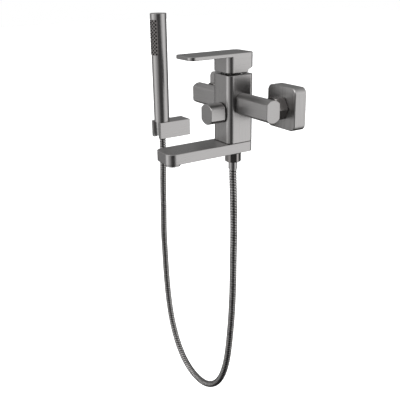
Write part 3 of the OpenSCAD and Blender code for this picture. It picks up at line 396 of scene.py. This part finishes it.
def newMaterial(name, constants):
    # gives the material, its nodes, its shader with these constants, and the place on the object
    material = bpy.data.materials.new(name)
    material.use_nodes = True
    nodes = Nodes(material.node_tree)
    shader = nodes.tree.nodes.new("ShaderNodeBsdfPrincipled")
    output = nodes.tree.nodes.new("ShaderNodeOutputMaterial")
    nodes.tree.links.new(shader.outputs[0], output.inputs[0])
    for key, value in constants.items():
        shader.inputs[key].default_value = value
    place = nodes.add("ShaderNodeTexCoord", output="Object")
    return material, nodes, shader, place


def wire(nodes, shader, colour, roughness, bump):
    # links what changes over the surface to the shader
    for name, value in (("Base Color", colour), ("Roughness", roughness), ("Normal", bump)):
        plug(nodes.tree, shader.inputs[name], value)


def shade(colour, amount):
    return tuple(c * amount for c in colour) + (1.0,)


def wander(nodes, field, colour, swing):
    # colour (1 - swing) where the field is 0.3, and (1 + swing) where it is 0.7
    share = nodes.ramp(field, 0.3, 0.7, "LINEAR")
    return nodes.blend(share, shade(colour, 1 - swing), shade(colour, 1 + swing))


brushed = {
    "colour": (0.262, 0.256, 0.254),
    "gloss": 0.29,
    "streak": 0.10,       # how much the streaks change the roughness
    "tint": 0.07,         # how much they change the colour
    "fine": 2600.0,       # streaks per metre across the brushing
    "wide": 560.0,
    "along": 22.0,        # and along it
    "cloud": 0.05,        # how much a broad cloud changes the roughness
    "bump": 0.10,
}

# coarser brushing of the wall flanges and of the arms
plateBrushing = {"gloss": 0.37, "tint": 0.22, "streak": 0.16, "wide": 380.0, "along": 12.0}
armBrushing = {"gloss": 0.34, "tint": 0.12}


def brushedMetal(name, grain, look):
    # n = 0.6 fine + 0.4 wide streaks along the grain; roughness g + s(n - 1/2) + k(cloud - 1/2), and the
    # colour swings by the tint with 0.85 n + 0.15 cloud
    material, nodes, shader, place = newMaterial(name, {"Metallic": 1.0})

    def streaks(count):
        scale = [count] * 3
        scale["XYZ".index(grain)] = look["along"]
        return nodes.noise(place, scale)

    fine, wide = streaks(look["fine"]), streaks(look["wide"])
    cloud = nodes.noise(place, (30.0, 30.0, 30.0), 3.0)
    grainy = fine * 0.6 + wide * 0.4
    gloss = cloud * look["cloud"] + (look["gloss"] - look["streak"] / 2 - look["cloud"] / 2)
    tinted = wander(nodes, grainy * 0.85 + cloud * 0.15, look["colour"], look["tint"])
    wire(nodes, shader, tinted, grainy * look["streak"] + gloss, nodes.bump(grainy, look["bump"]))
    return material


def plainMetal(name, colour, gloss):
    # turned metal: colour and roughness wander a little with a fine and a broad noise
    material, nodes, shader, place = newMaterial(name, {"Metallic": 1.0})
    fine, broad = nodes.noise(place, (1500.0,) * 3), nodes.noise(place, (90.0,) * 3, 3.0)
    wire(nodes, shader, wander(nodes, fine * 0.4 + broad * 0.6, colour, 0.07),
         fine * 0.08 + broad * 0.08 + (gloss - 0.08), nodes.bump(fine, 0.06))
    return material


# thread of the two wall unions, along its axis
pipeThread = {
    "axis": "Y",
    "pitch": 0.001814,
    "start": 0.0005,
    "end": 0.016,
    "runOut": 0.0006,     # length over which it fades at each end
    "depth": 0.0004,
}


def threadedMetal(name, colour, gloss, thread):
    # turned metal with a thread between two places on an axis: bump height is the wave cos(2 pi x / pitch),
    # and the colour is darkened in the thread's valleys as painted shade
    material, nodes, shader, place = newMaterial(name, {"Metallic": 1.0})
    start, end, runOut = thread["start"], thread["end"], thread["runOut"]
    x = nodes.add("ShaderNodeSeparateXYZ", {}, {"Vector": place}, "XYZ".index(thread["axis"]))
    wave = mathNode(nodes.tree, "COSINE", x * (2 * math.pi / thread["pitch"]))
    inside = nodes.ramp(x, start, start + runOut) * (1 - nodes.ramp(x, end - runOut, end))
    fine = nodes.noise(place, (1500.0,) * 3)
    # painted shade: the colour is darker in the valleys of the thread wave
    paintedThreadShade = inside * (0.5 - wave * 0.5)
    wire(nodes, shader, nodes.blend(paintedThreadShade * 0.75 + fine * 0.1, shade(colour, 1.05), shade(colour, 0.45)),
         fine * 0.10 + (gloss - 0.05), nodes.bump(wave * inside, 0.9, thread["depth"]))
    return material


def hoseMetal(name, colour, gloss):
    # steel sleeve: the grooves between the ribs are rougher and painted darker as shade, and parts of the
    # ribs are darker and rougher in a random mottle
    material, nodes, shader, place = newMaterial(name, {"Metallic": 1.0})
    groove = nodes.add("ShaderNodeAttribute", {"attribute_name": "groove"}, output="Fac")
    fine, mottle = nodes.noise(place, (1900.0,) * 3), nodes.noise(place, (300.0,) * 3)
    # painted shade in the grooves between the ribs, plus a random darker mottle on the ribs
    dark = nodes.ramp(groove, 0.15, 0.95) * 0.85 + nodes.ramp(mottle, 0.42, 0.62) * 0.4
    wire(nodes, shader, nodes.blend(dark, shade(colour, 1.3), shade(colour, 0.16)),
         groove * 0.25 + fine * 0.10 + (gloss - 0.05), nodes.bump(fine, 0.08))
    return material


def softMaterial(name, colour, gloss, grain, bump, constants=None):
    # rubber, plastic or ceramic: a fine grain in bump, roughness and colour
    material, nodes, shader, place = newMaterial(name, constants or {})
    fine, broad = nodes.noise(place, (grain,) * 3, 3.0), nodes.noise(place, (grain / 14,) * 3)
    wire(nodes, shader, wander(nodes, fine * 0.5 + broad * 0.5, colour, 0.12),
         fine * 0.14 + broad * 0.06 + (gloss - 0.10), nodes.bump(fine, bump))
    return material


finishes = {
    "brushedAcross": brushedMetal("gunmetal_brushed_across", "X", {**brushed, **armBrushing}),
    "brushedDeep": brushedMetal("gunmetal_brushed_deep", "Y", brushed),
    "brushedUpright": brushedMetal("gunmetal_brushed_upright", "Z", brushed),
    "brushedPlate": brushedMetal("gunmetal_brushed_plate", "Z", {**brushed, **plateBrushing}),
    "satin": plainMetal("gunmetal_satin", (0.24, 0.235, 0.233), 0.30),
    "nut": plainMetal("gunmetal_nut", (0.20, 0.19, 0.186), 0.24),
    # nearly black: painted shade, so that the parts seen in the gap under the lever hub look as dark as the
    # shade there
    "inner": plainMetal("gunmetal_painted_gap_shade", (0.05, 0.048, 0.047), 0.40),
    "threads": threadedMetal("brass_threads", (0.60, 0.44, 0.20), 0.30, pipeThread),
    "brass": plainMetal("brass_turned", (0.60, 0.44, 0.20), 0.28),
    "steel": plainMetal("steel_plain", (0.48, 0.48, 0.47), 0.32),
    "sleeve": hoseMetal("steel_sleeve", (0.185, 0.18, 0.178), 0.20),
    "rubber": softMaterial("rubber_black", (0.022, 0.022, 0.023), 0.62, 1400.0, 0.12),
    "nozzleRubber": softMaterial("rubber_nozzles", (0.006, 0.0057, 0.0057), 0.60, 1400.0, 0.10,
                                 {"Specular IOR Level": 0.12}),
    "padPlastic": softMaterial("plastic_spray_plate", (0.112, 0.103, 0.100), 0.42, 1600.0, 0.08),
    "whitePlastic": softMaterial("plastic_white", (0.70, 0.70, 0.67), 0.45, 900.0, 0.08),
    "darkPlastic": softMaterial("plastic_dark", (0.045, 0.045, 0.045), 0.42, 1100.0, 0.10),
    "ceramic": softMaterial("ceramic_ground", (0.72, 0.71, 0.68), 0.25, 2000.0, 0.03),
}

# which finish each piece wears
dressing = {
    "brushedUpright": ["column_body", "handset_tube"],
    "brushedPlate": ["escutcheon_left", "escutcheon_right"],
    "brushedAcross": ["arm_left", "arm_right"],
    "brushedDeep": ["lever_handle", "spout", "bracket_block", "diverter_knob"],
    "satin": ["lever_plug", "diverter_bonnet", "handset_cap", "handset_neck", "cone_nut", "cone_ferrule",
              "hose_ferrule", "aerator_housing"],
    "nut": ["union_nut_left", "union_nut_right", "hose_nut", "outlet_stem"],
    # these parts sit in the gap under the lever hub and wear the painted gap shade
    "inner": ["cartridge_nut", "lever_stem"],
    "threads": ["wall_union_left", "wall_union_right"],
    "brass": ["diverter_spindle", "diverter_rotor"],
    "steel": ["pivot_pin", "lever_grub_screw", "knob_grub_screw", "transfer_tube", "bracket_plate",
              "bracket_grub_screw"],
    "rubber": ["arm_seals", "filter_washers", "cartridge_seals", "bonnet_seal", "spout_o_rings",
               "aerator_seal", "hose_washer", "cone_washer"],
    "nozzleRubber": ["nozzle_mat"],
    "padPlastic": ["spray_plate"],
    "whitePlastic": ["cartridge_case", "disc_carrier", "check_valve", "spout_glide_ring", "water_tube",
                     "spray_core"],
    "darkPlastic": ["cartridge_turret", "aerator_insert"],
    "ceramic": ["fixed_disc", "sliding_disc"],
    "sleeve": ["shower_hose"],
}


def dress(piece, material):
    if piece.material_slots:
        for slot in piece.material_slots:
            slot.material = material
    else:
        piece.data.materials.append(material)


for finish, names in dressing.items():
    for name in names:
        dress(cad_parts[name], finishes[finish])
dress(hosePiece, finishes["sleeve"])
dress(nozzlePiece, finishes["nozzleRubber"])
dress(gridPiece, finishes["darkPlastic"])
print("materials made:", len(finishes))

# Studio

studio = {
    "floor": -1.05,
    "size": 30.0,
    "shade": 0.10,          # what metal mirrors between the panels
    # panels: degrees round from +X, half width, brightness, share more from the horizon up
    "panels": [
        (-99, 56, 0.92, 0.5), (-116, 30, 0.72, 1.4), (43, 50, 1.85, 0.0), (-150, 66, 0.22, 1.0)],
    "fade": 0.75,           # share of the panels that is gone high up
    "ceiling": 0.38,
    "sky": 0.33,            # from the horizon up
    "ground": 0.10,         # share of all this that is left straight below
    # where these start and end, as the sine of the angle over the horizon
    "ceilingFrom": (0.45, 0.95), "skyFrom": (0.02, 0.42), "fadeFrom": (0.25, 0.80),
    "liftFrom": (-0.05, 0.30), "groundFrom": (-0.90, -0.48),
    "floorColour": 0.85,
    "floorGlow": 0.62,
}

softbox = {"place": (0.5, -1.6, 1.5), "target": (-0.1, -0.05, -0.1), "size": 1.0, "power": 14}


def seenDirectly(nodes):
    # 1 on rays from the camera, also through glass; metal mirrors the panels instead
    return (nodes.add("ShaderNodeLightPath", output="Is Camera Ray")
            + nodes.add("ShaderNodeLightPath", output="Is Transmission Ray"))


def makeWorld(look):
    # brightness by direction: shade, plus each panel's smooth step of the cosine of the angle round from its
    # middle, fading high up, plus smooth steps of the height for sky and ceiling, all darker near the ground
    world = bpy.data.worlds.new("studio")
    bpy.context.scene.world = world
    world.use_nodes = True
    nodes = Nodes(world.node_tree)
    way = nodes.add("ShaderNodeTexCoord", output="Generated")
    level = nodes.add("ShaderNodeVectorMath", {"operation": "MULTIPLY"}, {0: way, 1: (1, 1, 0)})
    level = nodes.add("ShaderNodeVectorMath", {"operation": "NORMALIZE"}, {0: level})
    height = nodes.add("ShaderNodeSeparateXYZ", {}, {"Vector": way}, "Z")
    glow = (nodes.ramp(height, *look["ceilingFrom"]) * look["ceiling"]
            + nodes.ramp(height, *look["skyFrom"]) * look["sky"] + look["shade"])
    low = 1 - nodes.ramp(height, *look["fadeFrom"]) * look["fade"]
    for middle, half, brightness, lift in look["panels"]:
        towards = (math.cos(math.radians(middle)), math.sin(math.radians(middle)), 0)
        along = nodes.add("ShaderNodeVectorMath", {"operation": "DOT_PRODUCT"}, {0: level, 1: towards},
                          "Value")
        strength = (nodes.ramp(height, *look["liftFrom"]) * (brightness * lift) + brightness) * low
        glow = glow + nodes.ramp(along, math.cos(math.radians(half)), 1.0) * strength
    glow = glow * (nodes.ramp(height, *look["groundFrom"]) * (1 - look["ground"]) + look["ground"])
    seen = seenDirectly(nodes)
    light = nodes.tree.nodes.new("ShaderNodeBackground")
    light.inputs["Color"].default_value = (1, 1, 1, 1)
    plug(nodes.tree, light.inputs["Strength"], seen + (1 - seen) * glow)
    output = nodes.tree.nodes.new("ShaderNodeOutputWorld")
    nodes.tree.links.new(light.outputs[0], output.inputs[0])


def makeFloor(look):
    # plain pale floor: part of its white is its own, so that it stays white and keeps a soft shadow
    half = look["size"] / 2
    corners = np.array([(-half, -half, look["floor"]), (half, -half, look["floor"]),
                        (half, half, look["floor"]), (-half, half, look["floor"])])
    floor = meshPiece("floor", corners, [np.array([[0, 1, 2, 3]])], smooth=False)
    material = bpy.data.materials.new("floor_white")
    material.use_nodes = True
    nodes = Nodes(material.node_tree)
    seen = seenDirectly(nodes)
    matt = nodes.add("ShaderNodeBsdfDiffuse", {}, {"Color": (look["floorColour"],) * 3 + (1,)})
    glow = nodes.add("ShaderNodeEmission", {}, {"Color": (1, 1, 1, 1), "Strength": seen * look["floorGlow"]})
    both = nodes.add("ShaderNodeAddShader", {}, {0: matt, 1: glow})
    output = nodes.tree.nodes.new("ShaderNodeOutputMaterial")
    nodes.tree.links.new(both.socket, output.inputs[0])
    dress(floor, material)
    floor.visible_glossy = False


def makeLamp(look):
    lamp = bpy.data.lights.new("softbox", "AREA")
    lamp.shape, lamp.size, lamp.energy = "SQUARE", look["size"], look["power"]
    holder = bpy.data.objects.new("softbox", lamp)
    bpy.context.collection.objects.link(holder)
    holder.location = look["place"]
    away = Vector(look["place"]) - Vector(look["target"])
    holder.rotation_euler = away.to_track_quat("Z", "Y").to_euler()


makeWorld(studio)
makeFloor(studio)
makeLamp(softbox)
bpy.context.scene.view_settings.view_transform = "Standard"
print("studio made")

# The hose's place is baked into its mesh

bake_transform(hosePiece)
